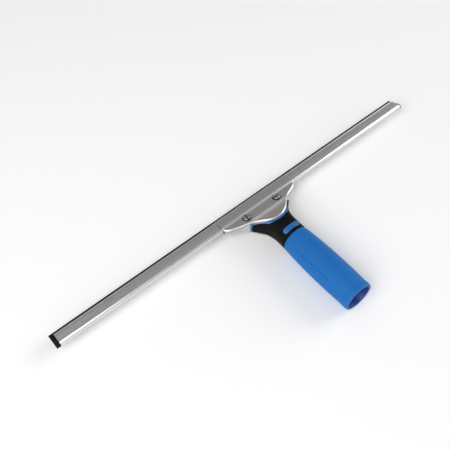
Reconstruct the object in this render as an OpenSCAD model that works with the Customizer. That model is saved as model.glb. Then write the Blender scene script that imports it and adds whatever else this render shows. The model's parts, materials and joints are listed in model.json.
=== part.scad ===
// Window squeegee: a long metal channel with a rubber blade, held by two screws between the
// pressed plates of a clamp head, on a soft handle whose open end takes a pole.
// Y runs along the handle from the mouth of its pole socket to the blade, X along the blade, +Z up.
// The origin is the middle of the socket's mouth. All sizes are in millimetres.

/* [Channel and rubber] */
// Length of the metal channel
channel_len = 449; // [250:1:600]
// How far the middle of the channel stands to the left of the handle
channel_shift = 11.5; // [0:1:60]
// Depth of the channel from its lips to the back of its spine
channel_depth = 14.8; // [14:0.1:20]
// Outer radius of the rolled spine
spine_r = 3.1; // [2.8:0.1:4]
// Sheet thickness of the channel
channel_t = 0.7; // [0.5:0.1:0.9]
// Working edge of the rubber, in front of the channel's lips
rubber_reach = 3.2; // [2.5:0.1:6]
// Thickness of the rubber between the lips
rubber_t = 1.9; // [1.4:0.1:2.4]
// Radius of the round bead along the rubber
bead_r = 1.75; // [1.5:0.05:2]
// Rubber and clip standing out of the channel's left end
rubber_out_left = 4.5; // [1:0.5:8]
// Rubber and clip standing out of the channel's right end
rubber_out_right = 1.5; // [0.5:0.5:8]
// Length of each end clip
clip_len = 18; // [12:1:30]

/* [Clamp plates] */
// Length of the jaws along the blade
jaw_len = 94; // [80:1:130]
// Sheet thickness of the two plates
plate_t = 1; // [0.8:0.1:1.4]
// Front plate, from the rubber's edge back to the tip of its tongue
front_depth = 52; // [48:0.5:54]
// Rear plate, from the rubber's edge back to the tip of its tongue
rear_depth = 46; // [43:0.5:48]
// Height of the turned edge of the front plate, with its sheet
front_rim = 3; // [2:0.1:3.2]
// Gap between the turned edges of the two plates
rim_gap = 0.4; // [0.2:0.05:1]
// Height of the screw seat above the channel's middle plane
seat_top = 2.2; // [1.8:0.1:2.6]
// Play between the channel and each plate
jaw_play = 0.08; // [0.05:0.01:0.15]
// Slope of the rear plate's tongue from the jaws' plane
rear_slope = 38; // [34:1:40]
// Half width of the plates where their wings run into the tongue
tongue_root = 30; // [28:0.5:34]
// The same place, back from the rubber's edge
root_depth = 29; // [28:0.5:31]
// Distance between the two rivets
rivet_pitch = 18; // [14:1:20]
// Radius of a rivet's shank
rivet_r = 1.6; // [1.2:0.1:2]
// Radius of a rivet's head
rivet_head_r = 3; // [2.4:0.1:3.4]

/* [Screws] */
// Distance between the two clamp screws
screw_pitch = 40; // [30:1:50]
// Screw axes, back from the rubber's edge
screw_back = 22.9; // [22:0.1:25]
// Radius of the screw shank
screw_r = 2.45; // [2:0.05:2.95]
// Radius of the screw head
head_r = 3.9; // [3.5:0.1:4.4]
// Height of the screw head
head_h = 1.6; // [1.2:0.1:2.2]
// Turn of the left screw's slot
slot_turn_left = 75; // [0:5:175]
// Turn of the right screw's slot
slot_turn_right = 15; // [0:5:175]
// Radius of the clinch nut
nut_r = 4; // [3.6:0.1:5]
// Height of the clinch nut under the plate
nut_h = 3.2; // [2.5:0.1:4.5]

/* [Handle] */
// From the socket's mouth to the end of the blue grip
grip_len = 86; // [75:1:110]
// From the grip's front end to the rubber's edge, along the handle
neck_reach = 71.3; // [66:0.1:90]
// How far the rubber's edge lies under the handle's axis
drop = 7.4; // [4:0.1:10]
// Angle between the jaws' plane and the handle's axis
blade_tilt = 14; // [8:0.5:18]
// Radius of the neck at the grip
neck_r = 14.5; // [13.5:0.1:16]
// Largest radius of the grip
grip_r = 16.3; // [15.8:0.1:18]
// Radius of the pole socket
socket_r = 13.3; // [11:0.1:13.6]
// Length of the straight part of the pole socket
socket_len = 32; // [20:1:40]
// Radius of the pole socket at its bottom
socket_end_r = 10.6; // [8:0.1:11]
// Full depth of the pole socket
socket_depth = 76; // [60:1:80]
// Wall of the handle tube at the mouth
tube_wall = 1.1; // [0.9:0.1:1.4]
// Thickness of the black skin on the neck
skin_t = 1.6; // [1:0.1:2.5]
// Half width of the neck at its shoulders
shoulder_r = 26.3; // [24:0.1:28]
// From the rubber's edge back to the shoulders' front face, along the handle
shoulder_back = 34.3; // [33.5:0.1:36]
// Height of the shoulders' upper edge over the handle's axis
shoulder_top = 7.1; // [5:0.1:8]
// Depth of the shoulders' lower edge under the handle's axis
shoulder_low = 9.5; // [8:0.1:11]
// How strongly the neck draws in between the grip and the shoulders
neck_waist = 5.6; // [2:0.1:7]
// Blue border showing round the front plate
border = 2.4; // [0.8:0.1:2.8]
// Number of grip flutes
flutes = 6; // [4:1:8]
// Depth of a grip flute
flute_depth = 0.5; // [0.3:0.05:0.7]
// Length of the coloured inlay across the neck
inlay_len = 19.5; // [12:0.5:20]
// Width of the coloured inlay
inlay_w = 5.6; // [3:0.1:7]

/* [Hidden] */
// From the socket's mouth to the rubber's edge, along the handle
reach = grip_len + neck_reach;
$fn = 64;
far = 60;

// ---- points and curves ----
function arc(c, r, a0, a1, n) =
    [for (i = [0:n]) let(a = a0 + (a1 - a0) * i / n) c + r * [cos(a), sin(a)]];
function bezier(p, n) =
    [for (i = [0:n]) let(t = i / n, s = 1 - t)
        s * s * s * p[0] + 3 * s * s * t * p[1] + 3 * s * t * t * p[2] + t * t * t * p[3]];
function blend(p, t) = let(s = 1 - t)
    s * s * s * p[0] + 3 * s * s * t * p[1] + 3 * s * t * t * p[2] + t * t * t * p[3];
function reversed(p) = [for (i = [len(p) - 1:-1:0]) p[i]];
// The line moved sideways by d, to its left
function shifted(p, d) = [for (i = [0:len(p) - 1])
    let(a = p[max(i - 1, 0)], b = p[min(i + 1, len(p) - 1)], t = (b - a) / norm(b - a))
    p[i] + d * [-t[1], t[0]]];
function mirrored(p) = [for (q = reversed(p)) [-q[0], q[1]]];

// Clamp frame: X along the blade, Y out of the lips, Z square to the jaws, from the rubber's edge
module in_clamp() {
    translate([0, reach, -drop]) rotate([-blade_tilt, 0, 0]) children();
}
// Height in the clamp frame, at v, of a point at height z in the handle's frame
function clamp_height(v, z) = (z + drop + v * sin(blade_tilt)) / cos(blade_tilt);
// A section drawn in the clamp frame's (Y, Z), pulled along X
module along_blade(x0, x1) {
    translate([x0, 0, 0]) rotate([90, 0, 90]) linear_extrude(x1 - x0) children();
}

// ---- channel section ----
play = 0.1;
lip_v = -rubber_reach;
lip_h = rubber_t / 2 + play + channel_t;
bead_v = lip_v - 4.4;
bead_flat = 1.2;
bead_h = bead_r + play + channel_t;
waist_v = bead_v - 3.9;
waist_h = spine_r - 1;
spine_v = lip_v - channel_depth + spine_r;
tail_v = bead_v - 2.6;
channel_x0 = -channel_shift - channel_len / 2;
channel_x1 = -channel_shift + channel_len / 2;
function leg(inset, out) = [
    [lip_v + out, lip_h - inset], [bead_v + bead_flat, bead_h - inset],
    [bead_v - bead_flat, bead_h - inset], [waist_v, waist_h - inset], [spine_v, waist_h - inset]];
module channel_outline(inset, out = 0) {
    upper = leg(inset, out);
    polygon(concat(upper, [for (q = reversed(upper)) [q[0], -q[1]]]));
    translate([spine_v, 0]) circle(spine_r - inset);
}

// ---- clamp plates ----
jaw_edge_v = lip_v - 0.9;
face_h = lip_h + (bead_h - lip_h) * (lip_v - jaw_edge_v) / (lip_v - bead_v - bead_flat);
wrap_r = spine_r + jaw_play + plate_t;
bend_r = 0.8;
// Where the bend behind the spine meets the wrap over it
bend_run = sqrt(pow(wrap_r + bend_r, 2) - pow(seat_top + bend_r, 2));
wrap_end = 180 - atan((seat_top + bend_r) / bend_run);
seat_end_v = -(screw_back + head_r + 0.6);
tongue_w = clamp_height(-front_depth, neck_r + 0.3);
// Outer surface of the front plate, from its jaw to its tongue
front_top = concat(
    [[jaw_edge_v, face_h + jaw_play + plate_t], [bead_v + bead_flat, bead_h + jaw_play + plate_t],
     [bead_v - bead_flat, bead_h + jaw_play + plate_t]],
    arc([spine_v, 0], wrap_r, 84, wrap_end, 10),
    arc([spine_v - bend_run, seat_top + bend_r], bend_r, wrap_end - 180, -90, 5),
    bezier([[seat_end_v, seat_top], [seat_end_v - 2, seat_top],
            [seat_end_v - 5.5, tongue_w], [-front_depth, tongue_w]], 16),
    [[-front_depth - 4, tongue_w]]);
// Inner surface of the rear plate, from its jaw to its tongue
rear_flat_w = -(spine_r + jaw_play);
// The rear plate leans from the bead to just clear the round spine, then runs flat
bead_to_spine = [bead_v - bead_flat - spine_v, bead_h + jaw_play];
rear_lean = asin((spine_r + jaw_play) / norm(bead_to_spine)) - atan2(bead_to_spine[1], bead_to_spine[0]);
rear_flat_v = spine_v + (spine_r + jaw_play) * tan(rear_lean / 2);
rear_bend_v = seat_end_v + 0.2;
rear_bend_r = 4;
rear_bend_end = [rear_bend_v - rear_bend_r * sin(rear_slope),
                 rear_flat_w - rear_bend_r * (1 - cos(rear_slope))];
rear_run = rear_depth + 4 + rear_bend_end[0];
rear_top = concat(
    [[jaw_edge_v, -face_h - jaw_play], [bead_v + bead_flat, -bead_h - jaw_play],
     [bead_v - bead_flat, -bead_h - jaw_play], [rear_flat_v, rear_flat_w]],
    arc([rear_bend_v, rear_flat_w - rear_bend_r], rear_bend_r, 90, 90 + rear_slope, 6),
    [rear_bend_end + rear_run * [-1, -tan(rear_slope)]]);
front_low = shifted(front_top, plate_t);
rear_low = shifted(rear_top, plate_t);
// Plan of a plate: straight jaw, wings drawn in to a round tongue
wing_v = spine_v - spine_r - 0.6;
function wing(depth) = concat(
    bezier([[jaw_len / 2, wing_v], [jaw_len / 2 - 0.5, wing_v - 4.9],
            [tongue_root + 8, 3.6 - root_depth], [tongue_root, -root_depth]], 9),
    [for (q = bezier([[tongue_root, -root_depth], [tongue_root - 7, -root_depth - 3.2],
                      [tongue_root / 2, -depth], [0, -depth]], 14)) if (q[0] < tongue_root) q]);
module plan(depth, grow = 0) {
    half = shifted(wing(depth), grow);
    side = [jaw_len / 2 + grow, jaw_edge_v];
    trimmed = [for (q = half) [max(q[0], 0), q[1]]];
    polygon(concat([side], trimmed, mirrored(trimmed), [[-side[0], side[1]]]));
}
// Solid between two heights over a plate's plan
module over_plan(depth, grow = 0) {
    translate([0, 0, -far]) linear_extrude(2 * far) plan(depth, grow);
}
module screw_spots() {
    for (side = [-1, 1]) translate([side * screw_pitch / 2, -screw_back, 0]) children();
}
// Rivet places on the sloping tongue of the rear plate, +Z out of the tongue
rivet_run = 10.5;
module rivet_spots() {
    spot = rear_bend_end + rivet_run * [-cos(rear_slope), -sin(rear_slope)];
    for (side = [-1, 1]) translate([side * rivet_pitch / 2, spot[0], spot[1]])
        rotate([rear_slope + 180, 0, 0]) children();
}
rivet_len = 7;
rivet_head_h = 1.2;

// ---- handle ----
neck_end = reach - shoulder_back;
function neck_width(t) = blend([neck_r, neck_r - 0.9, neck_r - neck_waist, shoulder_r], t);
function neck_top(t) = blend([neck_r, neck_r - 0.3, neck_r + 1.3, shoulder_top], t);
function neck_bottom(t) = blend([-neck_r, 0.3 - neck_r, -neck_r - 0.9, -shoulder_low], t);
neck_sides = 40;
neck_rings = 14;
// How much squarer than an ellipse the section is at the shoulders
squareness = 2;
// One section of the neck, t from 0 at the grip to 1 at the shoulders
function neck_ring(t, inset) = let(
    a = neck_width(t) - inset, top = neck_top(t) - inset, low = neck_bottom(t) + inset,
    mid = (top + low) / 2, half = (top - low) / 2, n = 2 / (2 + squareness * t),
    y = grip_len + (neck_end - grip_len) * t)
    [for (i = [0:neck_sides - 1]) let(g = 360 * i / neck_sides, c = cos(g), s = sin(g))
        [a * sign(c) * pow(abs(c), n), y, mid + half * sign(s) * pow(abs(s), n)]];
function neck_points(inset) = [for (k = [0:neck_rings]) each neck_ring(k / neck_rings, inset)];
// Triangles between one ring and the next, for rings whose points start at first
function neck_walls(first) = [for (k = [0:neck_rings - 1], i = [0:neck_sides - 1])
    let(j = (i + 1) % neck_sides, low = first + k * neck_sides, high = low + neck_sides)
    each [[low + i, high + j, high + i], [low + i, low + j, high + j]]];
function turned_over(faces) = [for (f = faces) reversed(f)];
module neck_body(inset) {
    first = [for (i = [neck_sides - 1:-1:0]) i];
    last = [for (i = [0:neck_sides - 1]) neck_rings * neck_sides + i];
    polyhedron(neck_points(inset), concat(neck_walls(0), [first, last]));
}
// The neck's outer layer alone, open at both ends
module neck_layer(thick) {
    inner = (neck_rings + 1) * neck_sides;
    top = neck_rings * neck_sides;
    rim = [for (i = [0:neck_sides - 1]) let(j = (i + 1) % neck_sides)
        each [[i, inner + i, inner + j], [i, inner + j, j],
              [top + i, top + inner + j, top + inner + i], [top + i, top + j, top + inner + j]]];
    polyhedron(concat(neck_points(0), neck_points(thick)),
               concat(neck_walls(0), turned_over(neck_walls(inner)), rim));
}
// What the two plates, their rims and their travel need clear
plate_gap = 0.15;
module plate_room() {
    lift_base = [for (q = front_low) q - [0, plate_gap / 2]];
    rim_base = [for (q = front_top) q - [0, front_rim + 2 * plate_gap]];
    lift_room = concat(lift_base, [[-far, lift_base[len(lift_base) - 1][1]], [-far, far], [10, far]]);
    rim_room = concat(rim_base, [[-far, rim_base[len(rim_base) - 1][1]], [-far, far], [10, far]]);
    rear_room = concat(rear_top, [[-far, -far], [10, -far]]);
    in_clamp() {
        intersection() {
            over_plan(front_depth, plate_gap);
            along_blade(-far, far) polygon(lift_room);
        }
        intersection() {
            difference() {
                over_plan(front_depth, plate_gap);
                over_plan(front_depth, -plate_t - plate_gap);
            }
            along_blade(-far, far) polygon(rim_room);
        }
        intersection() {
            over_plan(rear_depth, 0);
            along_blade(-far, far) polygon(rear_room);
        }
    }
}
// The part of the neck that shows blue: round the front plate's turned edge and a little below it,
// and along the shoulders' front edge
border_drop = 1.3;
shoulder_edge = 1.2;
module border_zone() {
    base = [for (q = front_top) q - [0, front_rim + border_drop]];
    in_clamp() intersection() {
        over_plan(front_depth, border);
        along_blade(-far, far)
            polygon(concat(base, [[-far, base[len(base) - 1][1]], [-far, far], [10, far]]));
    }
    translate([-far, neck_end - shoulder_edge, -far]) cube([2 * far, far, 2 * far]);
}
// Round-ended bar across the neck, pulled up from the handle's axis
inlay_y = 6.2;
module inlay_bar() {
    end_r = inlay_w / 2;
    half = inlay_len / 2 - end_r;
    translate([0, grip_len + inlay_y, 0]) linear_extrude(far) {
        for (side = [-1, 1]) translate([side * half, 0]) circle(end_r);
        translate([-half, -end_r]) square([2 * half, inlay_w]);
    }
}
inlay_deep = 0.8;
inlay_proud = 0.25;
tube_r = socket_r + tube_wall;
spigot_r = socket_end_r - 0.05;
spigot_len = 7;
mouth_wall = 1.2;
grip_end_y = 8;
function grip_curve() = concat(
    bezier([[0, tube_r + mouth_wall], [2, tube_r + mouth_wall + 0.5], [5, tube_r + mouth_wall + 0.4],
            [grip_end_y, grip_r - 0.6]], 6),
    [for (q = bezier([[grip_end_y, grip_r - 0.6], [22, grip_r + 0.3], [60, grip_r + 0.9],
                      [grip_len, neck_r]], 18)) if (q[0] > grip_end_y + 0.5) q]);
module turned(points) {
    rotate([-90, 0, 0]) rotate_extrude($fn = 96) polygon([for (q = points) [q[1], q[0]]]);
}
tube_step = socket_len + 4;

// ---- sub-parts ----
// Where the plates' turned edges start, behind the channel
rim_start_v = seat_end_v + 8;
module rubber_blade() {
    color("#1b1c1d") in_clamp() along_blade(channel_x0 - rubber_out_left, channel_x1 + rubber_out_right) {
        polygon([[0, rubber_t / 2 - 0.15], [-1.5, rubber_t / 2], [bead_v, rubber_t / 2],
                 [bead_v, -rubber_t / 2], [-1.5, -rubber_t / 2], [0, 0.15 - rubber_t / 2]]);
        translate([bead_v, 0]) circle(bead_r);
        translate([tail_v, -0.9]) square([bead_v - tail_v, 1.8]);
    }
}
module blade_channel() {
    color("#b9babc") in_clamp() along_blade(channel_x0, channel_x1) difference() {
        channel_outline(0);
        channel_outline(channel_t, 1);
    }
}
// Section of an end clip: a round rod with a web that points at the rubber's tail
module clip_section(rod_r, web_h) {
    translate([spine_v, 0]) circle(rod_r);
    translate([spine_v, -web_h]) square([tail_v - 0.2 - spine_v, 2 * web_h]);
}
// A plug inside the channel and a head outside it
module clip_parts(x0, x1, head_x0, head_x1) {
    color("#141516") in_clamp() {
        along_blade(x0, x1) clip_section(spine_r - channel_t - play, waist_h - channel_t - play);
        along_blade(head_x0, head_x1) clip_section(spine_r, waist_h);
    }
}
module end_clip_left() {
    outer = channel_x0 - rubber_out_left;
    clip_parts(outer, outer + clip_len, outer, channel_x0 - play);
}
module end_clip_right() {
    outer = channel_x1 + rubber_out_right;
    clip_parts(outer - clip_len, outer, channel_x1 + play, outer);
}
screw_hole_gap = 0.15;
module front_clamp_plate() {
    rim_low = [for (q = front_top) q - [0, front_rim]];
    color("#a9a9ab") in_clamp() difference() {
        union() {
            intersection() {
                over_plan(front_depth);
                along_blade(-far, far) polygon(concat(front_top, reversed(front_low)));
            }
            intersection() {
                difference() {
                    over_plan(front_depth);
                    over_plan(front_depth, -plate_t);
                }
                translate([-far, -far * 1.5, -far]) cube([2 * far, far * 1.5 + rim_start_v, 2 * far]);
                along_blade(-far, far) polygon(concat(front_top, reversed(rim_low)));
            }
        }
        screw_spots() translate([0, 0, -far]) cylinder(r = screw_r + screw_hole_gap, h = 2 * far);
    }
}
module rear_clamp_plate() {
    rim_high = [for (q = front_top) q - [0, front_rim + rim_gap]];
    color("#9fa0a2") difference() {
        union() {
            in_clamp() intersection() {
                over_plan(rear_depth);
                along_blade(-far, far) polygon(concat(rear_top, reversed(rear_low)));
            }
            intersection() {
                translate([-far, neck_end + plate_gap, -far]) cube([2 * far, far, 2 * far]);
                in_clamp() intersection() {
                    difference() {
                        over_plan(rear_depth);
                        over_plan(rear_depth, -plate_t);
                    }
                    translate([-far, -far * 1.5, -far]) cube([2 * far, far * 1.5 + rim_start_v, 2 * far]);
                    along_blade(-far, far) polygon(concat(rim_high, reversed(rear_low)));
                }
            }
        }
        in_clamp() {
            screw_spots() translate([0, 0, -far]) cylinder(r = nut_neck_r, h = 2 * far);
            rivet_spots() translate([0, 0, -far / 4]) cylinder(r = rivet_r, h = far / 2);
        }
    }
}
module screw_at(side, turn) {
    slot_w = 1.1;
    slot_deep = 0.8;
    dome_r = 9;
    past_nut = 0.6;
    color("#c4c4c6") in_clamp() translate([side * screw_pitch / 2, -screw_back, 0]) difference() {
        union() {
            intersection() {
                translate([0, 0, seat_top]) cylinder(r = head_r, h = head_h);
                translate([0, 0, seat_top + head_h - dome_r]) sphere(dome_r, $fn = 96);
            }
            translate([0, 0, rear_flat_w - plate_t - nut_h - past_nut])
                cylinder(r = screw_r, h = seat_top - rear_flat_w + plate_t + nut_h + past_nut);
        }
        translate([0, 0, seat_top + head_h - slot_deep + far / 2]) rotate([0, 0, turn])
            cube([4 * head_r, slot_w, far], center = true);
    }
}
module clamp_screw_left() {
    screw_at(-1, slot_turn_left);
}
module clamp_screw_right() {
    screw_at(1, slot_turn_right);
}
module retainer_at(side) {
    retainer_t = 0.8;
    retainer_wall = 1.6;
    base_w = seat_top - plate_t - play - retainer_t;
    color("#e8e6df") in_clamp() translate([side * screw_pitch / 2, -screw_back, base_w]) difference() {
        cylinder(r = screw_r + retainer_wall, h = retainer_t);
        translate([0, 0, -1]) cylinder(r = screw_r, h = retainer_t + 2);
    }
}
module screw_retainer_left() {
    retainer_at(-1);
}
module screw_retainer_right() {
    retainer_at(1);
}
nut_neck_r = nut_r - 0.8;
thread_fit = 0.06;
module nut_at(side) {
    seat_low = rear_flat_w - plate_t;
    color("#8f8f92") in_clamp() translate([side * screw_pitch / 2, -screw_back, seat_low]) difference() {
        union() {
            translate([0, 0, -nut_h]) cylinder(r = nut_r, h = nut_h);
            cylinder(r = nut_neck_r, h = plate_t);
        }
        translate([0, 0, -nut_h - 1]) cylinder(r = screw_r + thread_fit, h = nut_h + plate_t + 2);
    }
}
module clinch_nut_left() {
    nut_at(-1);
}
module clinch_nut_right() {
    nut_at(1);
}
module plate_rivets() {
    dome_r = 4.6;
    color("#b4b4b6") in_clamp() rivet_spots() {
        translate([0, 0, -rivet_len]) cylinder(r = rivet_r, h = rivet_len + plate_t + 0.3);
        intersection() {
            translate([0, 0, plate_t]) cylinder(r = rivet_head_r, h = rivet_head_h);
            translate([0, 0, plate_t + rivet_head_h - dome_r]) sphere(dome_r);
        }
    }
}
module head_core() {
    color("#1f57a0") {
        difference() {
            union() {
                neck_body(skin_t);
                intersection() {
                    neck_body(0);
                    border_zone();
                }
            }
            plate_room();
            in_clamp() rivet_spots() translate([0, 0, -rivet_len]) cylinder(r = rivet_r, h = far / 2);
        }
        translate([0, grip_len - spigot_len, 0]) rotate([-90, 0, 0])
            cylinder(r = spigot_r, h = spigot_len + 1);
    }
}
module neck_skin() {
    color("#202122") difference() {
        neck_layer(skin_t);
        plate_room();
        border_zone();
        difference() {
            inlay_bar();
            neck_body(inlay_deep);
        }
    }
}
module handle_tube() {
    color("#2a3f92") difference() {
        turned([[0, tube_r], [tube_step, tube_r], [grip_len, neck_r - skin_t], [grip_len, 0], [0, 0]]);
        turned([[-1, 0], [-1, socket_r], [socket_len, socket_r], [socket_depth, socket_end_r],
                [grip_len + 1, socket_end_r], [grip_len + 1, 0]]);
    }
}
// Grip flutes: straight grooves along the grip
flute_turn = 8;
flute_start = 26;
flute_len = 50;
flute_r = 1.6;
flute_rise = 0.1;
flute_slope = 2;
module grip_sleeve() {
    color("#2a70ba") difference() {
        turned(concat(grip_curve(), [[grip_len, 0], [0, 0]]));
        turned([[-1, 0], [-1, tube_r], [tube_step, tube_r], [grip_len, neck_r - skin_t],
                [grip_len + 1, neck_r - skin_t], [grip_len + 1, 0]]);
        for (k = [0:flutes - 1]) rotate([0, flute_turn + 360 * k / flutes, 0])
            translate([0, flute_start, grip_r + flute_r + flute_rise - flute_depth])
                rotate([-90 - flute_slope, 0, 0]) cylinder(r = flute_r, h = flute_len);
    }
}
module neck_inlay() {
    color("#2d6cc0") intersection() {
        difference() {
            neck_body(-inlay_proud);
            neck_body(inlay_deep);
        }
        inlay_bar();
    }
}

rubber_blade();
blade_channel();
end_clip_left();
end_clip_right();
front_clamp_plate();
rear_clamp_plate();
clamp_screw_left();
clamp_screw_right();
screw_retainer_left();
screw_retainer_right();
clinch_nut_left();
clinch_nut_right();
plate_rivets();
head_core();
neck_skin();
handle_tube();
grip_sleeve();
neck_inlay();
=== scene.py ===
import json
import math
import bmesh
import bpy
from mathutils import Matrix, Vector


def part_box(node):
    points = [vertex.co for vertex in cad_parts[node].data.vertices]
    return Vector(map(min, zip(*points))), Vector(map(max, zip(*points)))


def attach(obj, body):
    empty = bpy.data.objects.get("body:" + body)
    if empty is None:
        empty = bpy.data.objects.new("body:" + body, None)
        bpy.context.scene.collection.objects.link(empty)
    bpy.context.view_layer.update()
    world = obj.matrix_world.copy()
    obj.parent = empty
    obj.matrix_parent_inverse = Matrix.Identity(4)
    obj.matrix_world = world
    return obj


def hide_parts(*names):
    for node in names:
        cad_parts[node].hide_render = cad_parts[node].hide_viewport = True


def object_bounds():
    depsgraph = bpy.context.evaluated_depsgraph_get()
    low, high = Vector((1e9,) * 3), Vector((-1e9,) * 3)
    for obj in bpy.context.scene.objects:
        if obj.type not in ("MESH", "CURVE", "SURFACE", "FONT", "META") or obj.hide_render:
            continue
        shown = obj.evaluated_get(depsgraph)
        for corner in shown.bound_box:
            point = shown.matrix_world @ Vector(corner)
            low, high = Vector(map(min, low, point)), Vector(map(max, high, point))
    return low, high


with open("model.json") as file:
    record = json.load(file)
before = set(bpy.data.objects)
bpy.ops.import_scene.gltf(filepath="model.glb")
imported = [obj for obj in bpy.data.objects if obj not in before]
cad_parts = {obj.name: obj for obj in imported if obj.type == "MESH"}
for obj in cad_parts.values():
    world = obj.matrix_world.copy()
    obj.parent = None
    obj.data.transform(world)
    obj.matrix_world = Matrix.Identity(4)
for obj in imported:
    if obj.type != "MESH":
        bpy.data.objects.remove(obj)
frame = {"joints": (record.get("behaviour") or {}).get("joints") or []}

cad_box = [list(corner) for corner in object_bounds()]

# ---- Camera ----
# Looks down from behind the handle, on its left, with the blade running up to the right.
# It stands about half a metre above the tool.
eye = Vector((-0.2563, -0.1454, 0.5250))
look = Vector((0.3366, 0.4535, -0.8252)).normalized()
camera_up = Vector((0.5392, 0.6257, 0.5637))
across = look.cross(camera_up).normalized()
camera_data = bpy.data.cameras.new("camera")
camera_data.lens = 50.81
camera_data.sensor_width = 36
camera = bpy.data.objects.new("camera", camera_data)
camera.matrix_world = Matrix((across, across.cross(look), -look)).transposed().to_4x4()
camera.matrix_world.translation = eye
bpy.context.scene.collection.objects.link(camera)
bpy.context.scene.camera = camera

# ---- Floor ----
# A plain pale sheet that the tool lies on, wide enough to reach past every view.
# It is not part of the tool.
floor_half = 6.0
floor_gap = 0.0003
floor_z = cad_box[0][2] - floor_gap
floor_mesh = bpy.data.meshes.new("floor")
floor_corners = [(x * floor_half, y * floor_half, floor_z) for x, y in ((-1, -1), (1, -1), (1, 1), (-1, 1))]
floor_mesh.from_pydata(floor_corners, [], [(0, 1, 2, 3)])
floor = bpy.data.objects.new("floor", floor_mesh)
bpy.context.scene.collection.objects.link(floor)
floor_paint = bpy.data.materials.new("pale_floor")
floor_paint.use_nodes = True
floor_shader = floor_paint.node_tree.nodes["Principled BSDF"]
floor_shader.inputs["Base Color"].default_value = (0.99, 0.99, 0.99, 1)
floor_shader.inputs["Roughness"].default_value = 0.9
floor_shader.inputs["Specular IOR Level"].default_value = 0.1
floor_mesh.materials.append(floor_paint)

# ---- Studio light ----
# A grey room with a white wall behind the handle and two large soft boxes,
# so that the steel shows darker faces between bright edges.
world = bpy.data.worlds.new("room")
world.use_nodes = True
world_nodes = world.node_tree.nodes
world_links = world.node_tree.links
room_direction = world_nodes.new("ShaderNodeTexCoord")
room_split = world_nodes.new("ShaderNodeSeparateXYZ")
room_angle = world_nodes.new("ShaderNodeMath")
room_angle.operation = "ARCTAN2"
room_share = world_nodes.new("ShaderNodeMath")
room_share.operation = "DIVIDE"
room_share.inputs[1].default_value = math.pi
room_ramp = world_nodes.new("ShaderNodeValToRGB")
# (share of the half turn, tone): grey from the horizon ahead of the blade, over the top, to the white wall,
# and grey again low behind the handle
room_tones = ((0.0, 0.20), (0.12, 0.27), (0.3, 0.30), (0.6, 0.30), (0.8, 0.33),
              (0.88, 1.0), (0.94, 0.95), (0.98, 0.3), (1.0, 0.25))
while len(room_ramp.color_ramp.elements) < len(room_tones):
    room_ramp.color_ramp.elements.new(0.5)
for element, (position, tone) in zip(room_ramp.color_ramp.elements, room_tones):
    element.position = position
    element.color = (tone, tone, tone * 1.01, 1)
world_links.new(room_direction.outputs["Generated"], room_split.inputs["Vector"])
world_links.new(room_split.outputs["Z"], room_angle.inputs[0])
world_links.new(room_split.outputs["Y"], room_angle.inputs[1])
world_links.new(room_angle.outputs["Value"], room_share.inputs[0])
world_links.new(room_share.outputs["Value"], room_ramp.inputs["Fac"])
world_links.new(room_ramp.outputs["Color"], world_nodes["Background"].inputs["Color"])
world_nodes["Background"].inputs["Strength"].default_value = 1.0
bpy.context.scene.world = world
# Plain colour handling, so that each surface shows the tone it is given
bpy.context.scene.view_settings.view_transform = "Standard"


def soft_box(name, place, power):
    """A square area light at a place, turned to face the head of the tool."""
    data = bpy.data.lights.new(name, "AREA")
    data.size = box_side
    data.energy = power
    lamp = bpy.data.objects.new(name, data)
    lamp.location = place
    lamp.rotation_euler = (box_aim - Vector(place)).to_track_quat("-Z", "Y").to_euler()
    bpy.context.scene.collection.objects.link(lamp)


box_side = 1.8
box_aim = Vector((0.0, 0.1, 0.0))
soft_box("key_box", (-1.4, -0.3, 1.5), 34)
soft_box("fill_box", (2.3, -0.5, 1.1), 33)

# ---- Blade channel ----
# Stainless sheet rolled round a hollow spine, with two legs that pinch the rubber behind its edge.
# It comes off the mill with a fine grain along its length and is sawn square at both ends.
MM = 0.001
in_mm = Matrix.Scale(MM, 4)
joints = {joint["name"]: joint for joint in frame["joints"]}
lift_axis = Vector(joints["plate_lift"]["axis"])
tilt = math.atan2(lift_axis.y, lift_axis.z)
left_screw_at = Vector(joints["screw_left_turn"]["pos_m"])
right_screw_at = Vector(joints["screw_right_turn"]["pos_m"])
screw_back = 22.9
# The jaws' own frame in millimetres: x along the blade, v back from the rubber's edge, w square to the jaws
jaws = (Matrix.Translation((0, left_screw_at.y, left_screw_at.z)) @ Matrix.Rotation(-tilt, 4, "X")
        @ Matrix.Translation((0, screw_back * MM, 0)) @ in_mm)
sheet_t = 0.7
spine_r = 3.1
lip = (-3.2, 1.75)
bead = (-7.6, 2.55)
bead_flat = 1.2
waist = (-11.5, 2.1)
spine_v = -14.9


def arc(centre, radius, start, end, steps):
    """Points along an arc, angles in degrees."""
    turns = [math.radians(start + (end - start) * k / steps) for k in range(steps + 1)]
    return [(centre[0] + radius * math.cos(a), centre[1] + radius * math.sin(a)) for a in turns]


def eased(points, passes):
    """The line with its corners cut off, again and again, and its two ends kept."""
    for _ in range(passes):
        cut = [points[0]]
        for (ax, ay), (bx, by) in zip(points, points[1:]):
            cut.append((0.75 * ax + 0.25 * bx, 0.75 * ay + 0.25 * by))
            cut.append((0.25 * ax + 0.75 * bx, 0.25 * ay + 0.75 * by))
        points = cut + [points[-1]]
    return points


def beside(points, distance):
    """The line moved to its left by a distance."""
    moved = []
    for k, point in enumerate(points):
        a, b = points[max(k - 1, 0)], points[min(k + 1, len(points) - 1)]
        run = math.hypot(b[0] - a[0], b[1] - a[1])
        moved.append((point[0] - distance * (b[1] - a[1]) / run, point[1] + distance * (b[0] - a[0]) / run))
    return moved


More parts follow.
